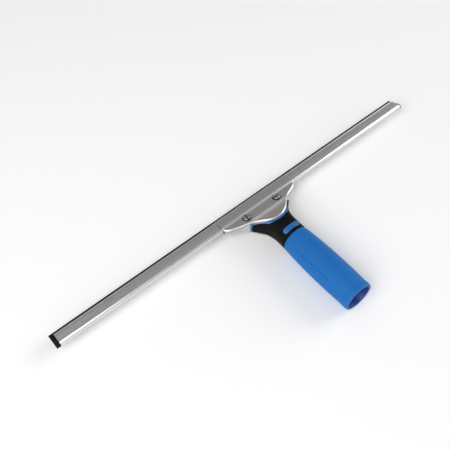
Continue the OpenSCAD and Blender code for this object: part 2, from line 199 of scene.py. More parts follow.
def new_tree(name, sockets, result):
    """An empty Geometry Nodes tree with named inputs and a finish, with its nodes, links and given values."""
    tree = bpy.data.node_groups.new(name, "GeometryNodeTree")
    for label, kind in (*sockets, ("Finish", "Material")):
        tree.interface.new_socket(label, in_out="INPUT", socket_type="NodeSocket" + kind)
    tree.interface.new_socket(result, in_out="OUTPUT", socket_type="NodeSocketGeometry")
    return tree, tree.nodes, tree.links, tree.nodes.new("NodeGroupInput").outputs


def end_tree(tree, given, geometry):
    """Ends a tree: makes its copies real, gives them their finish and puts them out."""
    real = tree.nodes.new("GeometryNodeRealizeInstances")
    paint = tree.nodes.new("GeometryNodeSetMaterial")
    made = tree.nodes.new("NodeGroupOutput")
    tree.links.new(geometry, real.inputs["Geometry"])
    tree.links.new(real.outputs["Geometry"], paint.inputs["Geometry"])
    tree.links.new(given["Finish"], paint.inputs["Material"])
    tree.links.new(paint.outputs["Geometry"], made.inputs[0])
    return tree


def pulled_tree(name):
    """Geometry Nodes: pulls a flat section along X into a closed bar."""
    tree, nodes, links, given = new_tree(name, (("Section", "Geometry"), ("Length", "Float")), "Bar")
    travel = nodes.new("ShaderNodeCombineXYZ")
    pull = nodes.new("GeometryNodeExtrudeMesh")
    pull.inputs["Offset Scale"].default_value = 1.0
    pull.inputs["Individual"].default_value = False
    flip = nodes.new("GeometryNodeFlipFaces")
    join = nodes.new("GeometryNodeJoinGeometry")
    weld = nodes.new("GeometryNodeMergeByDistance")
    weld.inputs["Distance"].default_value = 0.000001
    links.new(given["Length"], travel.inputs["X"])
    links.new(given["Section"], pull.inputs["Mesh"])
    links.new(travel.outputs["Vector"], pull.inputs["Offset"])
    links.new(given["Section"], flip.inputs["Mesh"])
    links.new(pull.outputs["Mesh"], join.inputs["Geometry"])
    links.new(flip.outputs["Mesh"], join.inputs["Geometry"])
    links.new(join.outputs["Geometry"], weld.inputs["Geometry"])
    return end_tree(tree, given, weld.outputs["Geometry"])


def new_piece(name, corners, faces, place=in_mm):
    """A mesh object from corners in the place's own millimetres."""
    mesh = bpy.data.meshes.new(name)
    mesh.from_pydata([place @ Vector(corner) for corner in corners], [], faces)
    piece = bpy.data.objects.new(name, mesh)
    bpy.context.scene.collection.objects.link(piece)
    return piece


def add_nodes(piece, tree, values):
    """Puts a Geometry Nodes tree on a piece and sets its named inputs."""
    modifier = piece.modifiers.new(tree.name, "NODES")
    modifier.node_group = tree
    for item in tree.interface.items_tree:
        if item.item_type == "SOCKET" and item.in_out == "INPUT" and item.name in values:
            modifier[item.identifier] = values[item.name]


def settle(piece, sharp=35):
    """Turns the piece's modifiers into plain mesh, smooth but for its sharp edges."""
    mesh = bpy.data.meshes.new_from_object(piece.evaluated_get(bpy.context.evaluated_depsgraph_get()))
    piece.modifiers.clear()
    piece.data = mesh
    for face in mesh.polygons:
        face.use_smooth = True
    mesh.set_sharp_from_angle(angle=math.radians(sharp))
    return piece


def soften(piece, width, segments=2, angle=40):
    """Rounds the piece's sharp edges."""
    bevel = piece.modifiers.new("edges", "BEVEL")
    bevel.width = width * MM
    bevel.segments = segments
    bevel.limit_method = "ANGLE"
    bevel.angle_limit = math.radians(angle)
    bevel.use_clamp_overlap = True


def keep(piece, body, slot, *nodes):
    """Fastens a finished piece to its body, in place of its plain solids."""
    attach(piece, body)
    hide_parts(*nodes)


def finish(name, tones, stretch, scale, roughness, bump, detail=4.0, metallic=0.0, gloss=0.5):
    """A new material of one tone, or of two that it drifts between. Noise over the piece breaks up its
    roughness and lifts its surface a little; bump is (strength, height in metres)."""
    material = bpy.data.materials.new(name)
    material.use_nodes = True
    nodes, links = material.node_tree.nodes, material.node_tree.links
    shader = nodes["Principled BSDF"]
    shader.inputs["Base Color"].default_value = (*tones[0], 1)
    shader.inputs["Metallic"].default_value = metallic
    shader.inputs["Specular IOR Level"].default_value = gloss
    place = nodes.new("ShaderNodeTexCoord")
    turn = nodes.new("ShaderNodeMapping")
    turn.inputs["Scale"].default_value = stretch
    noise = nodes.new("ShaderNodeTexNoise")
    noise.inputs["Scale"].default_value = scale
    noise.inputs["Detail"].default_value = detail
    spread = nodes.new("ShaderNodeMapRange")
    spread.inputs["From Min"].default_value = 0.3
    spread.inputs["From Max"].default_value = 0.7
    spread.inputs["To Min"].default_value = roughness[0]
    spread.inputs["To Max"].default_value = roughness[1]
    lift = nodes.new("ShaderNodeBump")
    lift.inputs["Strength"].default_value = bump[0]
    lift.inputs["Distance"].default_value = bump[1]
    links.new(place.outputs["Object"], turn.inputs["Vector"])
    links.new(turn.outputs["Vector"], noise.inputs["Vector"])
    links.new(noise.outputs["Fac"], spread.inputs["Value"])
    links.new(spread.outputs["Result"], shader.inputs["Roughness"])
    links.new(noise.outputs["Fac"], lift.inputs["Height"])
    links.new(lift.outputs["Normal"], shader.inputs["Normal"])
    if len(tones) == 2:
        drift = nodes.new("ShaderNodeValToRGB")
        for element, position, tone in zip(drift.color_ramp.elements, (0.35, 0.65), tones):
            element.position = position
            element.color = (*tone, 1)
        links.new(noise.outputs["Fac"], drift.inputs["Fac"])
        links.new(drift.outputs["Color"], shader.inputs["Base Color"])
    return material


def section_piece(name, section, x0, x1, material):
    """A closed section in the jaws' frame, pulled along the blade."""
    piece = new_piece(name, [(x0, v, w) for v, w in section], [tuple(range(len(section)))], jaws)
    if piece.data.polygons[0].normal.x < 0:
        piece.data.flip_normals()
    add_nodes(piece, pulled, {"Length": (x1 - x0) * MM, "Finish": material})
    return piece


pulled = pulled_tree("pulled_section")
channel_steel = finish("channel_steel", ((0.73, 0.73, 0.74),), (0.02, 1.0, 1.0), 2600.0,
                       (0.24, 0.42), (0.12, 0.00004), metallic=1.0)
channel_steel.node_tree.nodes["Principled BSDF"].inputs["Anisotropic"].default_value = 0.4
channel_x0, channel_x1 = [corner.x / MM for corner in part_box("blade_channel")]
spine_meets = math.degrees(math.asin(waist[1] / spine_r))
upper_leg = eased([lip, (bead[0] + bead_flat, bead[1]), (bead[0] - bead_flat, bead[1]), waist,
                   (spine_v + spine_r * math.cos(math.radians(spine_meets)) + 0.4, waist[1])], 3)
lower_leg = [(v, -w) for v, w in reversed(upper_leg)]
channel_outside = upper_leg + arc((spine_v, 0), spine_r, spine_meets + 8, 352 - spine_meets, 40) + lower_leg
channel_inside = beside(channel_outside, sheet_t)
channel = section_piece("channel_sheet", channel_outside + channel_inside[::-1], channel_x0, channel_x1,
                        channel_steel)
soften(channel, 0.12)
settle(channel)
keep(channel, "channel", "channel_steel", "blade_channel")

# ---- Rubber blade ----
# Black natural rubber, moulded in one strip with a round bead that the channel's legs hold.
# Its front edge is thinned a little and cut square.
rubber_half = 0.95
edge_half = 0.8
edge_run = 1.5
rubber_bead_r = 1.75
tail_v = -10.2
tail_half = 0.9
blade_rubber = finish("blade_rubber", ((0.004, 0.004, 0.005), (0.009, 0.009, 0.010)), (0.3, 1.0, 1.0), 1500.0,
                      (0.38, 0.55), (0.15, 0.00003), gloss=0.08)
bead_start = math.degrees(math.asin(rubber_half / rubber_bead_r))
bead_end = 180 - math.degrees(math.asin(tail_half / rubber_bead_r))
rubber_top = [(0, edge_half), (-edge_run, rubber_half)]
rubber_top += arc((bead[0], 0), rubber_bead_r, bead_start, bead_end, 12) + [(tail_v, tail_half)]
rubber_low = [(v, -w) for v, w in reversed(rubber_top)]
rubber_x = [corner.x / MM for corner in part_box("rubber_blade")]
rubber = section_piece("rubber_strip", rubber_top + rubber_low, *rubber_x, blade_rubber)
soften(rubber, 0.12)
settle(rubber)
keep(rubber, "rubber", "blade_rubber", "rubber_blade")

# ---- End clips ----
# Black moulded plugs, pushed into the hollow spine at either end. Each has a head with the spine's outline,
# which closes the end and stops the rubber from creeping out.
clip_play = 0.1
clip_plastic = finish("clip_plastic", ((0.005, 0.005, 0.006), (0.010, 0.010, 0.011)), (1.0, 1.0, 1.0), 900.0,
                      (0.42, 0.6), (0.2, 0.00005), gloss=0.15)


def clip_outline(rod_r, web_half):
    """Section of a clip: a round rod with a web that points at the rubber's tail."""
    web_v = tail_v - 0.2
    web_meets = math.degrees(math.asin(web_half / rod_r))
    rod = arc((spine_v, 0), rod_r, web_meets, 360 - web_meets, 32)
    return [(web_v, web_half)] + rod + [(web_v, -web_half)]


def add_mesh(piece, other):
    """Adds another piece's mesh to a piece, and throws the other one away."""
    work = bmesh.new()
    work.from_mesh(piece.data)
    work.from_mesh(other.data)
    work.to_mesh(piece.data)
    work.free()
    bpy.data.objects.remove(other)


head_outline = clip_outline(spine_r, waist[1])
plug_outline = clip_outline(spine_r - sheet_t - clip_play, waist[1] - sheet_t - clip_play)
plug_root = 0.3
for side_name in ("left", "right"):
    clip_x = [corner.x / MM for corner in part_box("end_clip_" + side_name)]
    if side_name == "left":
        head_x = (clip_x[0], channel_x0 - clip_play)
        plug_x = (head_x[1] - plug_root, clip_x[1])
    else:
        head_x = (channel_x1 + clip_play, clip_x[1])
        plug_x = (clip_x[0], head_x[0] + plug_root)
    clip = section_piece("end_plug_" + side_name, plug_outline, *plug_x, clip_plastic)
    head = section_piece("head", head_outline, *head_x, clip_plastic)
    soften(clip, 0.3, 3)
    soften(head, 0.45, 3)
    add_mesh(settle(clip), settle(head))
    keep(clip, "clip_" + side_name, "clip_plastic", "end_clip_" + side_name)

# ---- Clamp plates ----
# Two stainless pressings. The front one wraps over the channel, carries both screws and runs back as a round
# tongue with its edge turned down; the rear one is bent the other way and riveted to the core.
plate_t = 1.0
jaw_play = 0.08
jaw_half = 47.0
front_depth = 52.0
rear_depth = 46.0
front_rim = 3.0
seat_top = 2.2
rim_gap = 0.4
tongue_root = 30.0
root_depth = 29.0
rear_slope = math.radians(38)
neck_r = 14.5
reach = 157.3
drop = 7.4
head_r = 3.9
jaw_edge_v = lip[0] - 0.9
bead_h = bead[1]
face_h = lip[1] + (bead_h - lip[1]) * (lip[0] - jaw_edge_v) / (lip[0] - bead[0] - bead_flat)
cover = jaw_play + plate_t
wrap_r = spine_r + cover
bend_r = 0.8
bend_run = math.sqrt((wrap_r + bend_r) ** 2 - (seat_top + bend_r) ** 2)
wrap_end = 180 - math.degrees(math.atan((seat_top + bend_r) / bend_run))
seat_end_v = -(screw_back + head_r + 0.6)
tongue_w = (neck_r + 0.3 + drop - front_depth * math.sin(tilt)) / math.cos(tilt)
rim_start_v = seat_end_v + 8


def blend(values, t):
    """A cubic curve through numbers: its two ends and, between them, the two values that lead it."""
    s = 1 - t
    return sum(value * share for value, share in zip(values, (s ** 3, 3 * s * s * t, 3 * s * t * t, t ** 3)))


def cubic(a, b, c, d, steps):
    """Points along a cubic curve."""
    points = []
    for k in range(steps + 1):
        points.append(tuple(blend(values, k / steps) for values in zip(a, b, c, d)))
    return points


front_line = eased(
    [(jaw_edge_v, face_h + cover), (bead[0] + bead_flat, bead_h + cover),
     (bead[0] - bead_flat, bead_h + cover)]
    + arc((spine_v, 0), wrap_r, 84, wrap_end, 10)
    + arc((spine_v - bend_run, seat_top + bend_r), bend_r, wrap_end - 180, -90, 4)
    + cubic((seat_end_v, seat_top), (seat_end_v - 2, seat_top), (seat_end_v - 5.5, tongue_w),
            (-front_depth, tongue_w), 16)
    + [(-front_depth - 4, tongue_w)], 2)
rear_flat_w = -(spine_r + jaw_play)
rear_bend_v = seat_end_v + 0.2
rear_bend_r = 4.0
rear_bend_end = (rear_bend_v - rear_bend_r * math.sin(rear_slope),
                 rear_flat_w - rear_bend_r * (1 - math.cos(rear_slope)))
rear_run = rear_depth + 4 + rear_bend_end[0]
rear_line = eased(
    [(jaw_edge_v, -face_h - jaw_play), (bead[0] + bead_flat, -bead_h - jaw_play),
     (bead[0] - bead_flat, -bead_h - jaw_play), (spine_v + 0.15, rear_flat_w)]
    + arc((rear_bend_v, rear_flat_w - rear_bend_r), rear_bend_r, 90, 90 + math.degrees(rear_slope), 6)
    + [(rear_bend_end[0] - rear_run, rear_bend_end[1] - rear_run * math.tan(rear_slope))], 2)
rear_under = beside(rear_line, plate_t)


def height_on(line, v):
    """Height of a profile line at v. The line runs back from the jaw's edge."""
    for (av, aw), (bv, bw) in zip(line, line[1:]):
        if av >= v > bv:
            return aw + (bw - aw) * (av - v) / (av - bv)
    return line[0][1] if v > line[0][0] else line[-1][1]


def plate_outline(depth, jaw_steps=26, wing_steps=22, tongue_steps=44):
    """Half of a plate's plan, from the jaw's front corner to the tongue's tip, with outward directions."""
    wing_v = spine_v - spine_r - 0.6
    points = [(jaw_half, jaw_edge_v + (wing_v - jaw_edge_v) * k / jaw_steps) for k in range(jaw_steps)]
    points += cubic((jaw_half, wing_v), (jaw_half - 0.5, wing_v - 4.9), (tongue_root + 8, 3.6 - root_depth),
                    (tongue_root, -root_depth), wing_steps)[:-1]
    points += cubic((tongue_root, -root_depth), (tongue_root - 7, -root_depth - 3.2),
                    (tongue_root / 2, -depth), (0, -depth), tongue_steps)
    outward = [(q[0] - p[0], q[1] - p[1]) for p, q in zip(points, beside(points, 1.0))]
    outward[-1] = (0.0, -1.0)
    return list(zip(points, outward))


def ramp(value, start, end):
    """0 before start, 1 after end, eased between."""
    t = min(max((value - start) / (end - start), 0.0), 1.0)
    return t * t * (3 - 2 * t)


def grid_faces(rows, columns, closed=False):
    """Faces between the points of a grid, row after row."""
    around = columns if closed else columns - 1
    faces = []
    for row in range(rows - 1):
        for column in range(around):
            here, beyond = row * columns, (row + 1) * columns
            following = (column + 1) % columns
            faces.append((here + column, here + following, beyond + following, beyond + column))
    return faces


def cleaned(piece, outward=None):
    """Merges doubled corners and makes the faces look one way: outwards, or towards a direction."""
    work = bmesh.new()
    work.from_mesh(piece.data)
    bmesh.ops.remove_doubles(work, verts=work.verts, dist=0.000002)
    bmesh.ops.dissolve_degenerate(work, edges=work.edges, dist=0.000002)
    bmesh.ops.recalc_face_normals(work, faces=work.faces)
    if outward is not None:
        facing = sum((face.normal * face.calc_area() for face in work.faces), Vector())
        if facing.dot(outward) < 0:
            bmesh.ops.reverse_faces(work, faces=work.faces)
    work.to_mesh(piece.data)
    work.free()
    return piece


def pressed_sheet(name, depth, line, turn, roll, edge_line, stop_v=None):
    """A pressed plate: its top over the plan, its rolled edge, its turned wall down or up to the edge line,
    and the sheet's thickness. turn is 1 where the edge is turned down and -1 where it is turned up."""
    columns, bends, drops = 56, 6, 4
    rows = []
    for (x, v), (out_x, out_v) in plate_outline(depth):
        turned_edge = ramp(-v, -rim_start_v - 2.5, -rim_start_v + 1.5)
        if stop_v is not None:
            turned_edge *= 1 - ramp(-v, -stop_v - 0.3, -stop_v)
        bend = 0.15 + (roll - 0.15) * turned_edge
        inner = (max(x - bend * out_x, 0.0), v - bend * out_v)
        half_row = [(inner[0] * k / columns, inner[1], height_on(line, inner[1])) for k in range(columns + 1)]
        for k in range(1, bends + 1):
            a = math.radians(90 * k / bends)
            point = (max(inner[0] + bend * math.sin(a) * out_x, 0.0), inner[1] + bend * math.sin(a) * out_v)
            half_row.append((*point, height_on(line, point[1]) - turn * bend * (1 - math.cos(a))))
        for k in range(1, drops + 1):
            wall = abs(height_on(line, v) - height_on(edge_line, v)) * turned_edge
            low = bend + max(wall - bend, 0.05) * k / drops
            half_row.append((x, v, height_on(line, v) - turn * low))
        rows.append([(-px, pv, pw) for px, pv, pw in reversed(half_row[1:])] + half_row)
    corners = [corner for row in rows for corner in row]
    piece = new_piece(name, corners, grid_faces(len(rows), len(rows[0])), jaws)
    cleaned(piece, lift_axis * turn)
    thicken = piece.modifiers.new("sheet", "SOLIDIFY")
    thicken.thickness = plate_t * MM * 0.95
    thicken.offset = -1
    thicken.use_even_offset = False
    piece.data.materials.append(plate_steel)
    settle(piece)
    return piece


screw_pitch = (right_screw_at.x - left_screw_at.x) / MM
plate_steel = finish("plate_steel", ((0.66, 0.645, 0.63), (0.72, 0.705, 0.69)), (0.12, 1.0, 1.0), 3600.0,
                     (0.33, 0.45), (0.08, 0.00003), metallic=1.0)


def paint_shade(material, measure, dark_at, clear_at):
    """Painted shade on a material: its colour is darkened where a measure is below one value, and clear above
    another, in metres.
    """
    nodes, links = material.node_tree.nodes, material.node_tree.links
    shader = nodes["Principled BSDF"]
    share = nodes.new("ShaderNodeMapRange")
    share.inputs["From Min"].default_value = dark_at
    share.inputs["From Max"].default_value = clear_at
    share.inputs["To Min"].default_value = 0.03
    dim = nodes.new("ShaderNodeVectorMath")
    dim.operation = "SCALE"
    if shader.inputs["Base Color"].links:
        links.new(shader.inputs["Base Color"].links[0].from_socket, dim.inputs[0])
    else:
        dim.inputs[0].default_value = shader.inputs["Base Color"].default_value[:3]
    links.new(measure, share.inputs["Value"])
    links.new(share.outputs["Result"], dim.inputs["Scale"])
    links.new(dim.outputs["Vector"], shader.inputs["Base Color"])


# Painted shade: a dark ring is painted on the plate round each screw head, where its seat is pressed in
plate_nodes, plate_links = plate_steel.node_tree.nodes, plate_steel.node_tree.links
plate_place = plate_nodes.new("ShaderNodeTexCoord")
nearest_head = plate_nodes.new("ShaderNodeMath")
nearest_head.operation = "MINIMUM"
for number, screw_at in enumerate((left_screw_at, right_screw_at)):
    away = plate_nodes.new("ShaderNodeVectorMath")
    away.operation = "DISTANCE"
    away.inputs[1].default_value = screw_at + lift_axis * seat_top * MM
    plate_links.new(plate_place.outputs["Object"], away.inputs[0])
    plate_links.new(away.outputs["Value"], nearest_head.inputs[number])
paint_shade(plate_steel, nearest_head.outputs["Value"], (head_r + 0.6) * MM, (head_r + 1.1) * MM)
front_edge = [(v, w - front_rim) for v, w in front_line]
front_roll = 1.8
front_plate = pressed_sheet("front_pressing", front_depth, front_line, 1, front_roll, front_edge)
keep(front_plate, "front_plate", "plate_steel", "front_clamp_plate")
shoulder_back = 34.3
rear_stop_v = -shoulder_back - 0.2
rear_roll = 0.9
rear_edge = [(v, w - rim_gap - 0.2) for v, w in front_edge]
rear_plate = pressed_sheet("rear_pressing", rear_depth, rear_under, -1, rear_roll, rear_edge, rear_stop_v)
keep(rear_plate, "handle", "plate_steel", "rear_clamp_plate")

# ---- Clamp screws ----
# Stainless pan heads with a straight slot, turned on a lathe, on a short threaded shank.
# Each head sits in a round seat in the front plate, and draws it down on the channel.
screw_r = 2.45
head_h = 1.6
slot_w = 1.3
slot_deep = 1.2
seat_deep = 0.42
nut_h = 3.2


def turned(name, profile, place, steps=96):
    """A lathe-turned solid from its closed profile of (radius, height) points, round the place's own Z."""
    corners = []
    for k in range(steps):
        a = 2 * math.pi * k / steps
        corners += [(r * math.cos(a), r * math.sin(a), h) for r, h in profile]
    count = len(profile)
    faces = []
    for k in range(steps):
        here, beyond = k * count, (k + 1) % steps * count
        for p in range(count):
            following = (p + 1) % count
            faces.append((here + p, here + following, beyond + following, beyond + p))
    return cleaned(new_piece(name, corners, faces, place))


def thread_tree(name):
    """Geometry Nodes: a V-shaped ridge that winds along Z, added to the shank it is given."""
    sockets = (("Shank", "Geometry"), ("Radius", "Float"), ("Pitch", "Float"), ("Length", "Float"),
               ("Base", "Float"))
    tree, nodes, links, given = new_tree(name, sockets, "Threaded")
    turns = nodes.new("ShaderNodeMath")
    turns.operation = "DIVIDE"
    winding = nodes.new("GeometryNodeCurveSpiral")
    winding.inputs["Resolution"].default_value = 32
    ridge = nodes.new("GeometryNodeCurvePrimitiveCircle")
    ridge.inputs["Resolution"].default_value = 3
    half = nodes.new("ShaderNodeMath")
    half.operation = "MULTIPLY"
    half.inputs[1].default_value = 0.5
    sweep = nodes.new("GeometryNodeCurveToMesh")
    sweep.inputs["Fill Caps"].default_value = True
    at = nodes.new("ShaderNodeCombineXYZ")
    move = nodes.new("GeometryNodeTransform")
    join = nodes.new("GeometryNodeJoinGeometry")
    links.new(given["Length"], turns.inputs[0])
    links.new(given["Pitch"], turns.inputs[1])
    links.new(turns.outputs["Value"], winding.inputs["Rotations"])
    links.new(given["Radius"], winding.inputs["Start Radius"])
    links.new(given["Radius"], winding.inputs["End Radius"])
    links.new(given["Length"], winding.inputs["Height"])
    links.new(given["Pitch"], half.inputs[0])
    links.new(half.outputs["Value"], ridge.inputs["Radius"])
    links.new(winding.outputs["Curve"], sweep.inputs["Curve"])
    links.new(ridge.outputs["Curve"], sweep.inputs["Profile Curve"])
    links.new(given["Base"], at.inputs["Z"])
    links.new(sweep.outputs["Mesh"], move.inputs["Geometry"])
    links.new(at.outputs["Vector"], move.inputs["Translation"])
    links.new(given["Shank"], join.inputs["Geometry"])
    links.new(move.outputs["Geometry"], join.inputs["Geometry"])
    return end_tree(tree, given, join.outputs["Geometry"])


def cut_with(piece, cutter, operation="DIFFERENCE"):
    """Cuts a closed cutter out of a piece, or keeps what they share, and throws the cutter away."""
    cut = piece.modifiers.new("cut", "BOOLEAN")
    cut.operation = operation
    cut.solver = "EXACT"
    cut.object = cutter
    settle(piece)
    bpy.data.objects.remove(cutter)


def block(name, low, high, place):
    """A closed box between two corners, for cutting."""
    corners = [(x, y, z) for x in (low[0], high[0]) for y in (low[1], high[1]) for z in (low[2], high[2])]
    faces = [(0, 1, 3, 2), (4, 6, 7, 5), (0, 4, 5, 1), (2, 3, 7, 6), (0, 2, 6, 4), (1, 5, 7, 3)]
    return cleaned(new_piece(name, corners, faces, place))


thread = thread_tree("screw_thread")
to_mm = Matrix.Scale(1 / MM, 4)
thread_pitch = 0.8
thread_len = 6.4
screw_steel = finish("screw_steel", ((0.62, 0.61, 0.59),), (1.0, 1.0, 1.0), 1800.0,
                     (0.24, 0.4), (0.15, 0.00004), metallic=1.0)
# Painted shade: the slot's floor and the foot of the head are painted dark, where shade falls in the slot and
# under the head
screw_nodes, screw_links = screw_steel.node_tree.nodes, screw_steel.node_tree.links
screw_place = screw_nodes.new("ShaderNodeTexCoord")
screw_height = screw_nodes.new("ShaderNodeVectorMath")
screw_height.operation = "DOT_PRODUCT"
screw_height.inputs[1].default_value = lift_axis
screw_links.new(screw_place.outputs["Object"], screw_height.inputs[0])
head_top = seat_top + head_h
head_top_height = left_screw_at.dot(lift_axis) + head_top * MM
paint_shade(screw_steel, screw_height.outputs["Value"], head_top_height - 0.95 * MM, head_top_height - 0.6 * MM)
shank_low = rear_flat_w - plate_t - nut_h - 0.6
dome_rise = 0.55
dome_r = (head_r ** 2 + dome_rise ** 2) / (2 * dome_rise)
for side_name, at, slot_turn in (("left", left_screw_at, 75), ("right", right_screw_at, 15)):
    place = jaws @ Matrix.Translation((at.x / MM, -screw_back, 0))
    dome = [(dome_r * math.sin(a), head_top - dome_r + dome_r * math.cos(a))
            for a in [math.asin((head_r - 0.2) / dome_r) * k / 10 for k in range(11)]]
    shank = [(0, shank_low), (screw_r - 0.6, shank_low), (screw_r - 0.15, shank_low + 0.5),
             (screw_r - 0.15, seat_top - 0.8), (screw_r, seat_top - 0.6), (screw_r, seat_top - 0.4)]
    head = [(head_r - 0.2, seat_top - 0.4), (head_r, seat_top - 0.2), (head_r, head_top - dome_rise - 0.25),
            (head_r - 0.06, head_top - dome_rise - 0.08)]
    screw = turned("slotted_screw_" + side_name, shank + head + dome[::-1], place)
    # Each head sits in a shallow counterbore, over a hole for the shank
    seat = [(0, -1), (screw_r + 0.15, -1), (screw_r + 0.15, seat_top - seat_deep),
            (head_r + 0.55, seat_top - seat_deep), (head_r + 0.75, seat_top + 1), (0, seat_top + 1)]
    cut_with(front_plate, turned("seat", seat, place))
    turn = Matrix.Rotation(math.radians(slot_turn), 4, "Z")
    slot_low = (-2 * head_r, -slot_w / 2, head_top - slot_deep)
    slot_high = (2 * head_r, slot_w / 2, head_top + 2)
    cut_with(screw, block("slot", slot_low, slot_high, place @ turn))
    soften(screw, 0.1)
    settle(screw)
    # The thread is wound round Z at the origin, so the shank is taken there and brought back
    screw.data.transform((place @ to_mm).inverted())
    add_nodes(screw, thread, {"Radius": (screw_r - 0.2) * MM, "Pitch": thread_pitch * MM,
                              "Length": thread_len * MM, "Base": (shank_low + 0.7) * MM,
                              "Finish": screw_steel})
    settle(screw)
    screw.data.transform(place @ to_mm)
    keep(screw, "screw_" + side_name, "screw_steel", "clamp_screw_" + side_name)

# ---- Screw retainers ----
# Nylon washers pushed on the shanks under the front plate.
# They keep a loosened screw in the plate, and make it lift the plate as it is backed out.
nylon = finish("nylon", ((0.57, 0.55, 0.48), (0.66, 0.64, 0.58)), (1.0, 1.0, 1.0), 700.0,
               (0.38, 0.52), (0.1, 0.00005))
retainer_r = screw_r + 1.6
retainer_t = 0.8
retainer_w = seat_top - plate_t - 0.1 - retainer_t
for side_name, side in (("left", -1), ("right", 1)):
    place = jaws @ Matrix.Translation((side * screw_pitch / 2, -screw_back, retainer_w))
    profile = [(screw_r, 0.15), (screw_r + 0.15, 0), (retainer_r - 0.25, 0), (retainer_r, 0.25),
               (retainer_r, retainer_t - 0.25), (retainer_r - 0.25, retainer_t),
               (screw_r + 0.15, retainer_t), (screw_r, retainer_t - 0.15)]
    ring = turned("nylon_washer_" + side_name, profile, place)
    ring.data.materials.append(nylon)
    settle(ring)
    keep(ring, "screw_" + side_name, "nylon", "screw_retainer_" + side_name)

# ---- Clinch nuts ----
# Round steel nuts pressed into the rear plate from below, for the screws to turn in.
# A ring of fine teeth round each keeps it from turning.
nut_r = 4.0
nut_neck_r = nut_r - 0.8
bore_r = screw_r + 0.06
tooth_deep = 0.16


def figure(tree, operation, first, second=None):
    """A sum in a tree, of values or plain numbers."""
    node = tree.nodes.new("ShaderNodeMath")
    node.operation = operation
    for socket, value in zip(node.inputs, (first, second)):
        if isinstance(value, float):
            socket.default_value = value
        elif value is not None:
            tree.links.new(value, socket)
    return node.outputs["Value"]


def toothed_tree(name):
    """Geometry Nodes: presses a ring of teeth into the wall of the turned piece it is given."""
    sockets = (("Turning", "Geometry"), ("Count", "Float"), ("Depth", "Float"), ("Wall", "Float"))
    tree, nodes, links, given = new_tree(name, sockets, "Toothed")

    def sum_of(operation, *values):
        return figure(tree, operation, *values)

    place = nodes.new("GeometryNodeInputPosition")
    split = nodes.new("ShaderNodeSeparateXYZ")
    links.new(place.outputs["Position"], split.inputs["Vector"])
    x, y = split.outputs["X"], split.outputs["Y"]
    radius = sum_of("SQRT", sum_of("ADD", sum_of("MULTIPLY", x, x), sum_of("MULTIPLY", y, y)))
    wave = sum_of("SINE", sum_of("MULTIPLY", sum_of("ARCTAN2", y, x), given["Count"]))
    at_wall = sum_of("GREATER_THAN", radius, given["Wall"])
    valley = sum_of("MULTIPLY", sum_of("SUBTRACT", wave, 1.0), 0.5)
    press = sum_of("MULTIPLY", sum_of("MULTIPLY", valley, given["Depth"]), at_wall)
    shrink = sum_of("ADD", 1.0, sum_of("DIVIDE", press, sum_of("MAXIMUM", radius, 0.0001)))
    pressed = nodes.new("ShaderNodeCombineXYZ")
    links.new(sum_of("MULTIPLY", x, shrink), pressed.inputs["X"])
    links.new(sum_of("MULTIPLY", y, shrink), pressed.inputs["Y"])
    links.new(split.outputs["Z"], pressed.inputs["Z"])
    shift = nodes.new("GeometryNodeSetPosition")
    links.new(given["Turning"], shift.inputs["Geometry"])
    links.new(pressed.outputs["Vector"], shift.inputs["Position"])
    return end_tree(tree, given, shift.outputs["Geometry"])


teeth = toothed_tree("clinch_teeth")
for side_name, side in (("left", -1), ("right", 1)):
    place = jaws @ Matrix.Translation((side * screw_pitch / 2, -screw_back, rear_flat_w - plate_t))
    profile = [(bore_r, -nut_h + 0.3), (bore_r + 0.3, -nut_h), (nut_r - 0.5, -nut_h), (nut_r, -nut_h + 0.5)]
    profile += [(nut_r, -nut_h + 0.5 + 0.25 * k) for k in range(1, 9)]
    profile += [(nut_r - 0.15, 0), (nut_neck_r, 0), (nut_neck_r, plate_t - 0.1), (nut_neck_r - 0.1, plate_t),
                (bore_r + 0.2, plate_t), (bore_r, plate_t - 0.2)]
    nut = turned("clinch_nut_body_" + side_name, profile, in_mm, 192)
    add_nodes(nut, teeth, {"Count": 24.0, "Depth": tooth_deep * MM, "Wall": (nut_r - 0.2) * MM,
                           "Finish": screw_steel})
    settle(nut)
    nut.data.transform(place @ to_mm)
    keep(nut, "handle", "screw_steel", "clinch_nut_" + side_name)

# ---- Rivets ----
# Two domed steel rivets through the sloping tongue of the rear plate, set in the core.
# They fasten the plate to the handle.
rivet_r = 1.6
rivet_head_r = 3.0
rivet_head_h = 1.2
rivet_len = 7.0
rivet_pitch = 18.0
rivet_run = 10.5


def row_tree(name):
    """Geometry Nodes: sets copies of a piece in a straight row along X."""
    sockets = (("Piece", "Geometry"), ("Count", "Int"), ("Pitch", "Float"))
    tree, nodes, links, given = new_tree(name, sockets, "Row")
    step = nodes.new("ShaderNodeCombineXYZ")
    line = nodes.new("GeometryNodeMeshLine")
    copies = nodes.new("GeometryNodeInstanceOnPoints")
    links.new(given["Pitch"], step.inputs["X"])
    links.new(given["Count"], line.inputs["Count"])
    links.new(step.outputs["Vector"], line.inputs["Offset"])
    links.new(line.outputs["Mesh"], copies.inputs["Points"])
    links.new(given["Piece"], copies.inputs["Instance"])
    return end_tree(tree, given, copies.outputs["Instances"])


